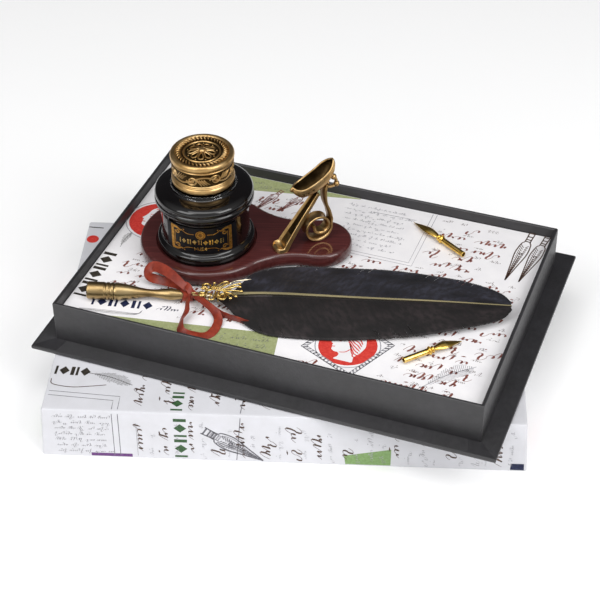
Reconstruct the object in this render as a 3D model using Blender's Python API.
"""Boxed quill pen and ink set, laid out for display.

The box's tray stands on its lid. A printed card insert in the tray carries a wooden desk stand
with an ink bottle and a brass pen rest, a feather dip pen with a ribbon bow, and two spare nibs.

Row frame: metres, +Z up, +X along the tray's long side, the origin under the middle of the lid, on
the table. Lengths in the tables below are in millimetres where a comment says so.
"""
import math

import bmesh
import bpy
from mathutils import Matrix, Vector

MM = 0.001
GAP = 0.3 * MM                      # clearance that touching pieces keep

# ---------------------------------------------------------------- driving dimensions, in metres
LID_LENGTH = 0.2530                 # over the top board
LID_DEPTH = 0.1644
LID_HEIGHT = 0.0317
LID_SPLAY = 0.0017                  # how far each wall leans out at the bottom
LID_YAW = math.radians(17.04)       # the lid lies turned under the tray
BOARD = 0.0022                      # box board with its paper wrap

TRAY_LENGTH = 0.2400
TRAY_DEPTH = 0.1577
TRAY_CENTRE = (0.0066, 0.0144)      # tray's middle, from the lid's middle
FLANGE_LENGTH = 0.2605              # base board, standing out all round
FLANGE_DEPTH = 0.1780
FLANGE_TOP = 0.00264                # above the lid's top face
TRAY_RIM = 0.0269
TRAY_BOARD = 0.0020

CARD_TOP = 0.0211                   # printed insert's top face, above the lid's top face
CARD = 0.0012

BASE_TOP = 0.0301                   # wooden base's top face, above the lid's top face
BASE_BOTTOM = 0.0226
FELT_BOTTOM = CARD_TOP + GAP
BASE_DISC_R = 0.0383                # big end, under the bottle
BASE_LOBE_R = 0.0180                # small end, under the pen rest
BASE_SPACING = 0.0631               # between the two ends' centres
BASE_WAIST_R = 0.0375               # the two hollow sides
BASE_YAW = math.radians(16.0)
BASE_CENTRE = (-0.0635, 0.0040)     # big end's centre, from the tray's middle
BASE_ROUND = 0.0024                 # rounded top edge
SEAT_DEPTH = 0.0012                 # seat turned for the bottle

BOTTLE_AXIS = (-0.0631, 0.0008)     # from the tray's middle
FOOT_R = 0.0273
BODY_R = 0.0245
LABEL_THICK = 0.0003
LABEL_HALF_ANGLE = math.radians(48.7)
LABEL_FACING = math.radians(-73)    # the way the label looks, from +X
CAP_R = 0.0172
NECK_R = 0.0132

REST_FOOT = (-0.0104, 0.0140)       # middle of the pen rest's profile plane, from the tray's middle
REST_YAW = math.radians(44.0)
REST_WIDTH = 0.0070
LEG_FOOT_WIDTH = 0.0096             # the leg's width at its foot and under the leaf
LEG_TOP_WIDTH = 0.0052
REST_STRIP = 0.0014                 # thickness of the brass strip

PEN_FRONT = (-0.1075, -0.0608)      # front end of the ferrule's axis, from the tray's middle
PEN_YAW = math.radians(16.2)
PEN_PITCH = math.radians(1.0)       # the holder dips towards its slim end
PEN_AXIS_HEIGHT = 0.0048            # axis above the card at the front end

NIB_SHANK_R = 0.0016


# ---------------------------------------------------------------- scene and material helpers
def clear_scene():
    for obj in list(bpy.data.objects):
        bpy.data.objects.remove(obj, do_unlink=True)


def material(name, colour, roughness, metallic=0.0, transmission=0.0):
    mat = bpy.data.materials.new(name)
    mat.use_nodes = True
    shader = mat.node_tree.nodes["Principled BSDF"]
    shader.inputs["Base Color"].default_value = (*colour, 1.0)
    shader.inputs["Roughness"].default_value = roughness
    shader.inputs["Metallic"].default_value = metallic
    shader.inputs["Transmission Weight"].default_value = transmission
    return mat


def empty(name, location, yaw=0.0, pitch=0.0, parent=None):
    """A body's own origin: pieces of one moving body hang under it."""
    obj = bpy.data.objects.new(name, None)
    obj.empty_display_size = 0.02
    obj.location = location
    obj.rotation_euler = (0.0, pitch, yaw)
    obj.parent = parent
    bpy.context.collection.objects.link(obj)
    return obj


def add_object(name, bm, mat, parent, round_angle=None):
    """Finish a bmesh as a named object; round_angle shades it smooth up to that angle."""
    bmesh.ops.recalc_face_normals(bm, faces=bm.faces)
    mesh = bpy.data.meshes.new(name)
    bm.to_mesh(mesh)
    bm.free()
    if round_angle is not None:
        mesh.shade_smooth()
        mesh.set_sharp_from_angle(angle=math.radians(round_angle))
    obj = bpy.data.objects.new(name, mesh)
    obj.parent = parent
    bpy.context.collection.objects.link(obj)
    if mat is not None:
        mesh.materials.append(mat)
    return obj


def boolean(obj, tool, operation):
    """Join or cut with a hidden tool object that stays in the scene as a guide."""
    tool.hide_render = True
    tool.display_type = 'WIRE'
    mod = obj.modifiers.new(operation.title(), 'BOOLEAN')
    mod.object = tool
    mod.operation = operation
    mod.solver = 'EXACT'


# ---------------------------------------------------------------- shape helpers
def block(low, high):
    bm = bmesh.new()
    bmesh.ops.create_cube(bm, size=1.0)
    for v in bm.verts:
        v.co = Vector(low[i] if v.co[i] < 0 else high[i] for i in range(3))
    return bm


def hexahedron(bottom, top):
    """Solid between two four-cornered rings of points that run the same way round."""
    bm = bmesh.new()
    low = [bm.verts.new(p) for p in bottom]
    high = [bm.verts.new(p) for p in top]
    bm.faces.new(low)
    bm.faces.new(high)
    for i in range(4):
        bm.faces.new((low[i], low[i - 1], high[i - 1], high[i]))
    return bm


def loft(rings):
    """Closed solid through rings of equally many points, capped at both ends."""
    bm = bmesh.new()
    rows = [[bm.verts.new(p) for p in ring] for ring in rings]
    for a, b in zip(rows, rows[1:]):
        for i in range(len(a)):
            bm.faces.new((a[i - 1], a[i], b[i], b[i - 1]))
    bm.faces.new(rows[0])
    bm.faces.new(rows[-1])
    return bm


def turned(profile, segments, axis='Z'):
    """Solid of revolution; profile is a closed loop of (radius, height), radius 0 on the axis."""
    bm = bmesh.new()
    rows = []
    for radius, height in profile:
        if radius == 0:
            rows.append([bm.verts.new(place(0.0, 0.0, height, axis))] * segments)
            continue
        angles = [2 * math.pi * i / segments for i in range(segments)]
        rows.append([bm.verts.new(place(radius * math.cos(a), radius * math.sin(a), height, axis))
                     for a in angles])
    for k, row in enumerate(rows):
        last = rows[k - 1]
        if profile[k][0] == 0 and profile[k - 1][0] == 0:
            continue
        for i in range(segments):
            corners = [last[i - 1], last[i], row[i], row[i - 1]]
            bm.faces.new(list(dict.fromkeys(corners)))
    return bm


def place(x, y, z, axis):
    """Put a turned shape's own axis along Z or along X."""
    return (x, y, z) if axis == 'Z' else (z, x, y)


def prism(outline, low, high):
    return loft([[(x, y, low) for x, y in outline], [(x, y, high) for x, y in outline]])


def arc(centre, radius, start, end, steps):
    """Points along an arc, angles in radians, both ends included."""
    span = [start + (end - start) * i / steps for i in range(steps + 1)]
    return [(centre[0] + radius * math.cos(a), centre[1] + radius * math.sin(a)) for a in span]


def smooth_path(points, steps):
    """Catmull-Rom curve through hand-set points of any dimension."""
    pts = [tuple(2 * a - b for a, b in zip(points[0], points[1]))] + list(points)
    pts.append(tuple(2 * a - b for a, b in zip(points[-1], points[-2])))
    path = []
    for p0, p1, p2, p3 in zip(pts, pts[1:], pts[2:], pts[3:]):
        for i in range(steps):
            t = i / steps
            path.append(tuple(
                0.5 * (2 * b + (c - a) * t + (2 * a - 5 * b + 4 * c - d) * t * t
                       + (3 * b - a - 3 * c + d) * t ** 3)
                for a, b, c, d in zip(p0, p1, p2, p3)))
    path.append(tuple(points[-1]))
    return path


def bent_strip(path, widths, thickness):
    """Strip bent in the XZ plane along path, its width across Y, given at each point."""
    rings = []
    for i, (x, z) in enumerate(path):
        before = path[max(i - 1, 0)]
        after = path[min(i + 1, len(path) - 1)]
        along = Vector((after[0] - before[0], after[1] - before[1])).normalized()
        nx, nz = -along.y * thickness / 2, along.x * thickness / 2
        half = widths[i] / 2
        rings.append([(x + nx, -half, z + nz), (x + nx, half, z + nz),
                      (x - nx, half, z - nz), (x - nx, -half, z - nz)])
    return loft(rings)


# ---------------------------------------------------------------- materials
def make_materials():
    return {
        'lid_paper': material('lid_paper', (0.86, 0.85, 0.82), 0.55),
        'black_board': material('black_board', (0.062, 0.060, 0.060), 0.60),
        'card_print': material('card_print', (0.88, 0.87, 0.85), 0.50),
        'mahogany': material('mahogany', (0.080, 0.028, 0.028), 0.22),
        'felt': material('felt', (0.020, 0.020, 0.022), 0.95),
        'antique_brass': material('antique_brass', (0.48, 0.33, 0.12), 0.30, 1.0),
        'glass': material('glass', (0.92, 0.95, 0.94), 0.03, 0.0, 1.0),
        'ink': material('ink', (0.004, 0.004, 0.006), 0.10),
        'label_paper': material('label_paper', (0.015, 0.015, 0.017), 0.40),
        'black_plastic': material('black_plastic', (0.020, 0.020, 0.020), 0.45),
        'wad': material('wad', (0.80, 0.80, 0.78), 0.70),
        'satin_brass': material('satin_brass', (0.60, 0.44, 0.20), 0.28, 1.0),
        'bright_gold': material('bright_gold', (0.85, 0.62, 0.22), 0.18, 1.0),
        'rachis': material('rachis', (0.150, 0.120, 0.060), 0.45),
        'feather': material('feather', (0.016, 0.014, 0.014), 0.60),
        'ribbon': material('ribbon', (0.390, 0.052, 0.024), 0.40),
    }


# ---------------------------------------------------------------- box
def wall_ring(length, depth, splay, board, low, high, mat, parent, prefix):
    """Four mitred wall boards of a box, leaning out by splay at their lower edge."""
    mitre = GAP / math.sqrt(2)

    def corner(inset, level, sx, sy, end):
        """Corner of one wall, drawn back along the wall that ends there."""
        x = sx * (length / 2 + splay * (high - level) / (high - low) - inset)
        y = sy * (depth / 2 + splay * (high - level) / (high - low) - inset)
        return (x - sx * mitre, y, level) if end == 'x' else (x, y - sy * mitre, level)

    sides = {
        'front': (((-1, -1), (1, -1)), 'x'), 'back': (((1, 1), (-1, 1)), 'x'),
        'right': (((1, -1), (1, 1)), 'y'), 'left': (((-1, 1), (-1, -1)), 'y'),
    }
    for side, ((first, second), end) in sides.items():
        rings = [[corner(0, level, *first, end), corner(0, level, *second, end),
                  corner(board, level, *second, end), corner(board, level, *first, end)]
                 for level in (low, high)]
        add_object(f'{prefix}_wall_{side}', hexahedron(*rings), mat, parent)


def build_lid(mats, parent):
    """The lid, face up: a top board on four walls, open underneath."""
    top = block((-LID_LENGTH / 2, -LID_DEPTH / 2, LID_HEIGHT - BOARD),
                (LID_LENGTH / 2, LID_DEPTH / 2, LID_HEIGHT))
    add_object('lid_top_board', top, mats['lid_paper'], parent)
    wall_ring(LID_LENGTH, LID_DEPTH, LID_SPLAY, BOARD, 0.0, LID_HEIGHT - BOARD - GAP,
              mats['lid_paper'], parent, 'lid')


def build_tray(mats, parent):
    """The base tray: a flange board and four walls."""
    flange = block((-FLANGE_LENGTH / 2, -FLANGE_DEPTH / 2, GAP),
                   (FLANGE_LENGTH / 2, FLANGE_DEPTH / 2, FLANGE_TOP))
    add_object('tray_flange_board', flange, mats['black_board'], parent)
    wall_ring(TRAY_LENGTH, TRAY_DEPTH, 0.0, TRAY_BOARD, FLANGE_TOP + GAP, TRAY_RIM,
              mats['black_board'], parent, 'tray')


def build_platform(mats, parent):
    """The folded card insert, open underneath, standing on the flange board."""
    half_x = TRAY_LENGTH / 2 - TRAY_BOARD - GAP
    half_y = TRAY_DEPTH / 2 - TRAY_BOARD - GAP
    low = FLANGE_TOP + GAP
    outer = [(-half_x, -half_y), (half_x, -half_y), (half_x, half_y), (-half_x, half_y)]
    inner = [(x - math.copysign(CARD, x), y - math.copysign(CARD, y)) for x, y in outer]
    rings = [[(x, y, CARD_TOP - CARD) for x, y in inner], [(x, y, low) for x, y in inner],
             [(x, y, low) for x, y in outer], [(x, y, CARD_TOP) for x, y in outer]]
    add_object('card_platform', loft(rings), mats['card_print'], parent)


# ---------------------------------------------------------------- desk stand
def base_outline(inset):
    """Pear outline, drawn in by inset: two round ends joined by two hollow sides."""
    disc, lobe, waist = BASE_DISC_R - inset, BASE_LOBE_R - inset, BASE_WAIST_R + inset
    a, b, c = disc + waist, lobe + waist, BASE_SPACING
    waist_x = (a * a - b * b + c * c) / (2 * c)
    waist_y = math.sqrt(a * a - waist_x * waist_x)
    at_disc = math.atan2(waist_y, waist_x)
    at_lobe = math.atan2(waist_y, waist_x - c)
    outline = arc((0, 0), disc, at_disc, 2 * math.pi - at_disc, 40)
    outline += arc((waist_x, -waist_y), waist, math.pi - at_disc, math.pi - at_lobe, 12)[1:]
    outline += arc((c, 0), lobe, -at_lobe, at_lobe, 20)[1:]
    outline += arc((waist_x, waist_y), waist, math.pi + at_lobe, math.pi + at_disc, 12)[1:-1]
    return outline


def build_base(mats, parent):
    """Wooden base with a rounded top edge, a bottle seat and two peg holes; felt below."""
    levels = [(0.0006, BASE_BOTTOM), (0.0, BASE_BOTTOM + 0.0006)]
    for i in range(5):
        angle = math.radians(90 * i / 4)
        levels.append((BASE_ROUND * (1 - math.cos(angle)),
                       BASE_TOP - BASE_ROUND * (1 - math.sin(angle))))
    rings = [[(x, y, z) for x, y in base_outline(inset)] for inset, z in levels]
    base = add_object('wood_base', loft(rings), mats['mahogany'], parent, 40)

    seat_r = FOOT_R + 0.0008
    seat = turned([(0, BASE_TOP - SEAT_DEPTH), (seat_r, BASE_TOP - SEAT_DEPTH),
                   (seat_r, BASE_TOP + 0.002), (0, BASE_TOP + 0.002)], 48)
    cutter = add_object('seat_cutter', seat, None, parent)
    cutter.location = stand_local(BOTTLE_AXIS)
    boolean(base, cutter, 'DIFFERENCE')
    for i, foot in enumerate(PEG_PLACES):
        hole = turned([(0, BASE_TOP - PEG_DEPTH - GAP), (PEG_R + GAP, BASE_TOP - PEG_DEPTH - GAP),
                       (PEG_R + GAP, BASE_TOP + 0.002), (0, BASE_TOP + 0.002)], 16)
        cutter = add_object(f'peg_cutter_{i}', hole, None, parent)
        cutter.location = stand_local(rest_world(foot))
        boolean(base, cutter, 'DIFFERENCE')

    felt = prism(base_outline(0.0016), FELT_BOTTOM, BASE_BOTTOM - GAP)
    add_object('felt_pad', felt, mats['felt'], parent)


def stand_local(point):
    """A point given from the tray's middle, in the wooden base's own turned frame."""
    dx, dy = point[0] - BASE_CENTRE[0], point[1] - BASE_CENTRE[1]
    c, s = math.cos(BASE_YAW), math.sin(BASE_YAW)
    return (dx * c + dy * s, dy * c - dx * s, 0.0)


def rest_world(along):
    """A distance along the pen rest's profile plane, as a point from the tray's middle."""
    return (REST_FOOT[0] + along * math.cos(REST_YAW), REST_FOOT[1] + along * math.sin(REST_YAW))


# ---------------------------------------------------------------- pen rest
# Its pieces are bent in one upright plane: x runs along the plane, z up from the wooden base.
PEG_R = 0.0015
PEG_DEPTH = 0.0045
PEG_PLACES = (-0.0128, 0.0072)      # under the tongue and under the curl
LEG_PATH = [(-0.0175, 0.0012), (-0.0150, 0.0010), (-0.0122, 0.0014), (-0.0098, 0.0050),
            (-0.0006, 0.0188), (0.0045, 0.0258), (0.0086, 0.0318)]
STRAP_PATH = [(0.0138, 0.0372), (0.0127, 0.0325), (0.0131, 0.0250), (0.0152, 0.0185),
              (0.0166, 0.0125)]
CURL_TURNS = 1.55                   # turns of the curl, shrinking inwards
BACK_CURL = ((0.0186, 0.0392), (0.0204, 0.0342))   # two beads of the little curl behind
BEAD_R = 0.0017
# The leaf's rim line: x, z, half width and depth of the hollow there, in millimetres.
CRADLE_RIM = [(-5.6, 38.6, 0.9, 1.2), (-4.0, 38.2, 2.7, 4.0), (-0.7, 38.4, 4.2, 6.2),
              (4.0, 40.4, 4.8, 7.0), (9.1, 43.2, 4.9, 6.8), (13.0, 46.0, 4.8, 5.6),
              (15.7, 48.1, 3.9, 4.0), (17.5, 49.8, 2.2, 2.2), (18.2, 50.6, 1.0, 1.1)]
CRADLE_SHELL = 0.9                  # wall of the leaf, in millimetres


def peg(along):
    """Round peg under a foot, sunk in the wood."""
    bm = turned([(0, -PEG_DEPTH), (PEG_R, -PEG_DEPTH), (PEG_R, 0.0010), (0, 0.0010)], 16)
    bmesh.ops.translate(bm, verts=bm.verts, vec=(along, 0, 0))
    return bm


def curl_path():
    """The strap's end: down, under, and round inwards into a small eye."""
    steps = 44
    path = []
    for i in range(steps + 1):
        t = i / steps
        angle = math.radians(8) - 2 * math.pi * CURL_TURNS * t
        radius = 0.0082 - 0.0049 * t ** 1.5
        centre = (0.0080 + 0.0016 * t, 0.0090 + 0.0012 * t)
        path.append((centre[0] + radius * math.cos(angle), centre[1] + radius * math.sin(angle)))
    return path


def cradle_bowl():
    """Leaf-shaped hollow: a thin shell along its rim line, blunt at the tail, pointed at the tip."""
    across = 10
    line = smooth_path(CRADLE_RIM, 2)
    rings = []
    for i, (x, z, half, depth) in enumerate(line):
        before, after = line[max(i - 1, 0)], line[min(i + 1, len(line) - 1)]
        along = Vector((after[0] - before[0], 0, after[1] - before[1])).normalized()
        up = Vector((-along.z, 0, along.x))
        wall = min(CRADLE_SHELL, half * 0.7, depth * 0.6)
        outer, inner = [], []
        for k in range(across + 1):
            angle = math.pi * (1 + k / across)
            side, drop = math.cos(angle), math.sin(angle)
            middle = Vector((x, 0, z))
            outer.append((middle + Vector((0, side * half, 0)) + up * (drop * depth)) * MM)
            inner.append((middle + Vector((0, side * (half - wall), 0))
                          + up * (drop * (depth - wall))) * MM)
        rings.append(outer + inner[::-1])
    return loft(rings)


def back_curl():
    """Small curl behind the leaf: two beads on a short bent arm."""
    (x0, z0), (x1, z1) = BACK_CURL
    half = BEAD_R * 0.5
    path = smooth_path([(0.0133, 0.0348), (0.0165, 0.0333), (x1, z1), (x0 + 0.0008, z0)], 3)
    bm = bent_strip(path, [REST_WIDTH * 0.5] * len(path), half * 1.4)
    return bm


def bead(x, z):
    bm = turned([(0, -BEAD_R)] + [(BEAD_R * math.cos(math.radians(a)),
                                   BEAD_R * math.sin(math.radians(a)))
                                  for a in (-60, -30, 0, 30, 60)] + [(0, BEAD_R)], 12)
    bmesh.ops.rotate(bm, verts=bm.verts, matrix=Matrix.Rotation(math.radians(90), 3, 'X'))
    bmesh.ops.translate(bm, verts=bm.verts, vec=(x, 0, z))
    return bm


def leg_width(station, height):
    """The leg is broad at its foot, drawn in at the very tip, and narrows towards the leaf."""
    if station == 0:
        return LEG_FOOT_WIDTH * 0.6
    share = min(1.0, height / LEG_PATH[-1][1])
    return LEG_FOOT_WIDTH + (LEG_TOP_WIDTH - LEG_FOOT_WIDTH) * share ** 0.7


def build_pen_rest(mats, parent):
    """Brass leg with its tongue, leaf-shaped cradle, and strap with its curl."""
    brass = mats['antique_brass']
    leg_path = smooth_path(LEG_PATH, 5)
    widths = [leg_width(i, z) for i, (_, z) in enumerate(leg_path)]
    leg = add_object('rest_leg', bent_strip(leg_path, widths, REST_STRIP), brass, parent, 35)
    boolean(leg, add_object('leg_peg_tool', peg(PEG_PLACES[0]), None, parent), 'UNION')

    add_object('rest_cradle', cradle_bowl(), brass, parent, 35)

    strap_path = smooth_path(STRAP_PATH, 5)[:-1] + curl_path()
    strap = bent_strip(strap_path, [REST_WIDTH] * len(strap_path), REST_STRIP)
    scroll = add_object('rest_scroll', strap, brass, parent, 35)
    boolean(scroll, add_object('scroll_peg_tool', peg(PEG_PLACES[1]), None, parent), 'UNION')
    boolean(scroll, add_object('back_curl_tool', back_curl(), None, parent), 'UNION')
    for i, (x, z) in enumerate(BACK_CURL):
        boolean(scroll, add_object(f'bead_tool_{i}', bead(x, z), None, parent), 'UNION')


# ---------------------------------------------------------------- bottle and cap
def build_bottle(mats, parent):
    """Glass with a foot ring, a straight waist, a rounded shoulder and a neck; heights in mm."""
    base = -SEAT_DEPTH / MM + 0.3
    body = BODY_R / MM
    foot = FOOT_R / MM
    neck = NECK_R / MM
    profile = [(0, base), (foot - 0.6, base), (foot, base + 0.6), (foot, 3.5), (foot - 0.7, 4.3),
               (body + 0.5, 4.8), (body, 5.3), (body, 25.4), (body + 0.8, 26.3),
               (foot - 0.4, 27.2), (foot + 0.2, 28.8), (foot + 0.2, 33.2), (foot - 0.5, 35.0),
               (25.4, 35.8), (19.5, 36.6), (18.0, 37.2), (17.6, 38.6), (16.4, 39.2),
               (neck, 39.4), (neck, 54.0), (neck - 0.6, 54.6), (10.4, 54.6), (9.8, 54.0),
               (9.8, 38.6), (12.5, 35.6), (19.5, 33.6), (21.4, 31.6), (21.6, 29.0), (21.6, 5.6),
               (20.4, 4.2), (0, 3.6)]
    profile = [(r * MM, z * MM) for r, z in profile]
    add_object('bottle_glass', turned(profile, 40), mats['glass'], parent, 35)

    ink = [(0, 3.9), (20.2, 4.5), (21.3, 5.8), (21.3, 29.0), (21.0, 31.4), (19.3, 33.2), (16.0, 34.1),
           (0, 34.1)]
    ink = [(r * MM, z * MM) for r, z in ink]
    add_object('ink_fill', turned(ink, 40), mats['ink'], parent, 35)

    inner = BODY_R + GAP
    outer = inner + LABEL_THICK
    start, end = LABEL_FACING - LABEL_HALF_ANGLE, LABEL_FACING + LABEL_HALF_ANGLE
    outline = arc((0, 0), outer, start, end, 22) + arc((0, 0), inner, end, start, 22)
    add_object('bottle_label', prism(outline, 0.0062, 0.0238), mats['label_paper'], parent, 35)


def build_cap(mats, cap_parent, wad_parent):
    """Screw cap: brass shell, threaded insert, round top medallion; and the loose wad."""
    r = CAP_R / MM
    shell = [(15.6, 40.1), (r - 0.3, 40.1), (r + 0.1, 40.6), (r + 0.1, 42.6), (r - 0.4, 43.6),
             (r - 0.6, 44.6), (r - 0.6, 53.4), (r - 0.2, 54.4), (r + 0.3, 55.4), (r + 0.3, 56.6),
             (r - 0.2, 57.6), (r - 1.0, 58.0), (r - 2.4, 57.5), (10.9, 57.5), (10.2, 58.1),
             (9.4, 57.9), (8.9, 57.4), (0, 57.4), (0, 56.3), (15.6, 56.3)]
    add_object('cap_shell', turned([(x * MM, z * MM) for x, z in shell], 40),
               mats['antique_brass'], cap_parent, 35)
    insert = [(NECK_R / MM + 0.4, 40.8), (15.3, 40.8), (15.3, 56.0), (NECK_R / MM + 0.4, 56.0)]
    add_object('cap_thread_insert', turned([(x * MM, z * MM) for x, z in insert], 40),
               mats['black_plastic'], cap_parent, 35)
    medallion = [(0, 57.7), (8.3, 57.7), (8.3, 58.1), (7.7, 58.5), (0, 58.9)]
    add_object('cap_medallion', turned([(x * MM, z * MM) for x, z in medallion], 32),
               mats['antique_brass'], cap_parent, 35)
    wad = [(0, 54.9), (NECK_R / MM, 54.9), (NECK_R / MM, 56.0), (0, 56.0)]
    add_object('cap_wad', turned([(x * MM, z * MM) for x, z in wad], 32), mats['wad'],
               wad_parent, 35)


# ---------------------------------------------------------------- pen
# The pen's own frame: x from the front end towards the feather's tip, z up.
RACHIS_PATH = [(0.0686, 0.0, 0.0002), (0.0850, 0.0003, 0.0022), (0.1050, 0.0002, 0.0036),
               (0.1500, -0.0007, 0.0046), (0.1900, -0.0008, 0.0052), (0.2290, -0.0004, 0.0046)]
UPPER_EDGE = [(0.0835, 0.0085), (0.0865, 0.0195), (0.0960, 0.0265), (0.1120, 0.0295),
              (0.1450, 0.0300), (0.1720, 0.0283), (0.1950, 0.0232), (0.2130, 0.0165),
              (0.2235, 0.0095), (0.2290, 0.0022)]
LOWER_EDGE = [(0.0745, -0.0026), (0.0795, -0.0110), (0.0870, -0.0195), (0.1000, -0.0270),
              (0.1250, -0.0293), (0.1500, -0.0284), (0.1750, -0.0254), (0.1980, -0.0193),
              (0.2160, -0.0122), (0.2250, -0.0066), (0.2290, -0.0030)]


def build_holder(mats, parent):
    """Ferrule, bush, turned barrel and rear sleeve, all round the pen's axis; sizes in mm."""
    brass = mats['satin_brass']
    ferrule = [(3.5, 0), (4.5, 0), (4.8, 0.3), (4.8, 9.6), (4.4, 9.9), (4.4, 10.5), (4.8, 10.8),
               (4.8, 12.0), (4.4, 12.3), (4.4, 13.2), (4.8, 13.5), (4.8, 14.7), (3.5, 14.7)]
    add_object('holder_ferrule', turned([(r * MM, x * MM) for r, x in ferrule], 28, 'X'),
               brass, parent, 35)
    bush = [(2.4, 0.6), (3.2, 0.6), (3.2, 14.4), (2.4, 14.4)]
    add_object('nib_bush', turned([(r * MM, x * MM) for r, x in bush], 20, 'X'),
               mats['black_plastic'], parent, 35)
    shape = smooth_path([(4.8, 15.0), (4.5, 19.5), (3.6, 25.0), (2.6, 30.0), (2.15, 34.5),
                         (2.35, 38.5), (3.1, 44.0), (3.2, 46.3), (2.7, 50.0), (2.2, 53.2)], 2)
    barrel = [(0, 15.0)] + shape + [(0, 53.2)]
    add_object('holder_barrel', turned([(r * MM, x * MM) for r, x in barrel], 24, 'X'),
               brass, parent, 35)
    sleeve = [(0, 53.5), (2.0, 53.5), (2.0, 67.8), (1.6, 68.3), (0, 68.3)]
    add_object('rear_sleeve', turned([(r * MM, x * MM) for r, x in sleeve], 16, 'X'),
               mats['bright_gold'], parent, 35)


def build_ornament(mats, parent):
    """Filigree casting as a wavy plate over the sleeve, with its long thin spike."""
    outline = smooth_path([(59.5, 0), (61.5, 3.6), (65.5, 2.4), (69.5, 4.6), (75.5, 6.4), (81, 6.0),
                           (84.5, 2.6), (86, 0), (84, -3.4), (79, -4.4), (74, -6.4), (70, -5.6),
                           (66, -4.4), (62, -4.6), (59.5, 0)], 3)[:-1]
    outline = [(x * MM, y * MM) for x, y in outline]
    plate = add_object('filigree_ornament', prism(outline, 0.0046, 0.0062),
                       mats['bright_gold'], parent)
    spike = [(80, 4.0, 0.7), (88.5, 9.6, 0.25)]
    rings = []
    for x, y, half in spike:
        rings.append([((x + dx * half) * MM, (y + dy * half) * MM, (5.4 + dz * half) * MM)
                      for dx, dy, dz in ((-0.5, 0.9, 0.6), (0.5, -0.9, 0.6), (0.5, -0.9, -0.6),
                                         (-0.5, 0.9, -0.6))])
    boolean(plate, add_object('spike_tool', loft(rings), None, parent), 'UNION')


def rachis_at(x):
    """Sideways place and height of the feather's shaft at x, along its hand-set points."""
    for (x0, y0, z0), (x1, y1, z1) in zip(RACHIS_PATH, RACHIS_PATH[1:]):
        if x <= x1:
            t = max(0.0, (x - x0) / (x1 - x0))
            return y0 + (y1 - y0) * t, z0 + (z1 - z0) * t
    return RACHIS_PATH[-1][1], RACHIS_PATH[-1][2]


def vane(edge, side, droop):
    """Thin vane from beside the shaft out to its edge, bending down by droop at full width."""
    thick = 0.0007
    rings = []
    for x, y in smooth_path(edge, 4):
        mid_y, mid_z = rachis_at(x)
        root = mid_y + side * 0.0016
        widest = 0.027
        row_top = []
        for k in range(4):
            t = k / 3
            yy = root + (y - root) * t
            fall = droop * (abs(y - root) * t / widest) ** 1.4
            row_top.append((x, yy, mid_z - fall))
        rings.append(row_top + [(px, py, pz - thick) for px, py, pz in row_top[::-1]])
    return loft(rings)


def build_feather(mats, parent):
    """Shaft and two vanes."""
    path = smooth_path(RACHIS_PATH, 4)
    rings = []
    for i, (x, y, z) in enumerate(path):
        radius = 0.0013 - 0.0009 * i / (len(path) - 1)
        rings.append([(x, y + radius * math.cos(a), z + radius * math.sin(a))
                      for a in (2 * math.pi * k / 8 for k in range(8))])
    add_object('feather_shaft', loft(rings), mats['rachis'], parent, 60)
    add_object('feather_vane_upper', vane(UPPER_EDGE, 1, 0.0030), mats['feather'], parent, 35)
    add_object('feather_vane_lower', vane(LOWER_EDGE, -1, 0.0054), mats['feather'], parent, 35)


def build_ribbon(mats, parent):
    """Ribbon bow as a plain band: a collar round the sleeve, two loops and a tail."""
    collar = turned([(0.0023, 0.0538), (0.0034, 0.0538), (0.0034, 0.0588), (0.0023, 0.0588)],
                    16, 'X')
    bow = add_object('ribbon_bow', collar, mats['ribbon'], parent)
    loops = {
        'upper_loop_tool': ([(55.6, 2.6, 0.8), (49, 8, 3.0), (40, 16, 5.2), (33, 18.5, 5.4),
                             (30, 14, 2.0), (37, 11, 0.6), (48, 6.2, 0.6)], 2.2),
        'lower_loop_tool': ([(55.6, -2.6, -0.5), (53, -14, -1.6), (52.5, -27, -1.6), (57, -31, -1.7),
                             (67, -29, -1.7), (73.5, -23, -1.5), (70, -12, -1.0),
                             (61, -4.5, 0.4)], 1.8),
    }
    for name, (points, half_height) in loops.items():
        path = smooth_path(points, 3)
        rings = []
        for i, (x, y, z) in enumerate(path):
            before, after = path[max(i - 1, 0)], path[min(i + 1, len(path) - 1)]
            along = Vector((after[0] - before[0], after[1] - before[1])).normalized()
            nx, ny = -along.y * 0.4, along.x * 0.4
            rings.append([((x + nx) * MM, (y + ny) * MM, (z + half_height) * MM),
                          ((x + nx) * MM, (y + ny) * MM, (z - half_height) * MM),
                          ((x - nx) * MM, (y - ny) * MM, (z - half_height) * MM),
                          ((x - nx) * MM, (y - ny) * MM, (z + half_height) * MM)])
        boolean(bow, add_object(name, loft(rings), None, parent), 'UNION')


# ---------------------------------------------------------------- spare nibs
NIBS = {
    # name: shank end and tip from the tray's middle, in metres; width of the tongue
    'nib_a': ((0.0751, 0.0414), (0.0395, 0.0631), 0.0056),
    'nib_b': ((0.0705, -0.0551), (0.0942, -0.0284), 0.0060),
}


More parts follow.
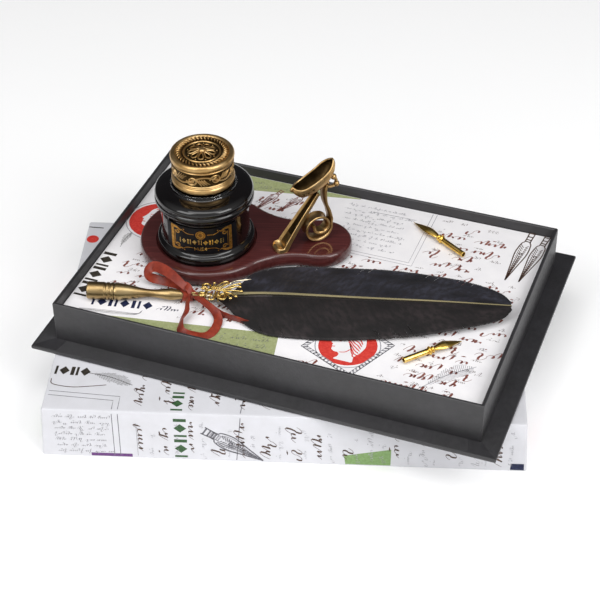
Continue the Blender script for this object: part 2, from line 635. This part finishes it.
def build_nib(name, length, width, mats, parent):
    """Tubular shank with two beads, and a curved tongue drawn out to the writing tip."""
    shank_end = length * 0.42
    r = NIB_SHANK_R
    bead = shank_end + 0.0034
    profile = [(r - 0.0005, 0), (r, 0), (r, shank_end), (r + 0.0006, shank_end + 0.0005),
               (r + 0.0006, shank_end + 0.0011), (r - 0.0004, shank_end + 0.0018),
               (r + 0.0004, bead - 0.0009), (r + 0.0004, bead - 0.0003), (r - 0.0005, bead),
               (0, bead), (0, 0.010), (r - 0.0005, 0.010)]
    add_object(f'{name}_shank', turned(profile, 18, 'X'), mats['bright_gold'], parent, 35)
    start = bead + GAP
    rings = []
    stations, across = 10, 6
    for i in range(stations + 1):
        t = i / stations
        half = max(0.00018, width / 2 * (0.62 + 0.38 * math.sin(math.pi * min(t / 0.45, 1) / 2))
                   * (1 - max(0.0, (t - 0.45) / 0.55) ** 1.15))
        outer, inner = [], []
        for k in range(across + 1):
            angle = math.radians(20 + 140 * k / across)
            lift = -0.0016 * t * t
            y, z = half * math.cos(angle), half * 0.55 * math.sin(angle) + lift
            x = start + (length - start) * t
            outer.append((x, y, z))
            inner.append((x, y * 0.9, z - 0.00035))
        rings.append(outer + inner[::-1])
    add_object(f'{name}_tongue', loft(rings), mats['bright_gold'], parent, 35)


# ---------------------------------------------------------------- assembly
def main():
    clear_scene()
    mats = make_materials()

    lid = empty('lid_origin', (0, 0, 0), LID_YAW)
    build_lid(mats, lid)

    tray = empty('tray_origin', (*TRAY_CENTRE, LID_HEIGHT))
    build_tray(mats, tray)

    platform = empty('platform_origin', (0, 0, 0), parent=tray)
    build_platform(mats, platform)

    stand = empty('stand_origin', (*BASE_CENTRE, 0), BASE_YAW, parent=tray)
    build_base(mats, stand)
    rest = empty('pen_rest_origin', (*REST_FOOT, BASE_TOP), REST_YAW, parent=tray)
    build_pen_rest(mats, rest)

    bottle = empty('bottle_origin', (*BOTTLE_AXIS, BASE_TOP), parent=tray)
    build_bottle(mats, bottle)
    wad = empty('wad_lift_axis', (0, 0, 0), parent=bottle)
    cap = empty('cap_turn_axis', (0, 0, 0), parent=bottle)
    build_cap(mats, cap, wad)

    pen = empty('pen_origin', (*PEN_FRONT, CARD_TOP + GAP + PEN_AXIS_HEIGHT), PEN_YAW, PEN_PITCH,
                parent=tray)
    build_holder(mats, pen)
    build_ornament(mats, pen)
    build_feather(mats, pen)
    build_ribbon(mats, pen)

    for name, (end, tip, width) in NIBS.items():
        run = Vector((tip[0] - end[0], tip[1] - end[1]))
        origin = empty(f'{name}_origin', (*end, CARD_TOP + GAP + NIB_SHANK_R + 0.0006),
                       math.atan2(run.y, run.x), parent=tray)
        build_nib(name, run.length, width, mats, origin)


main()
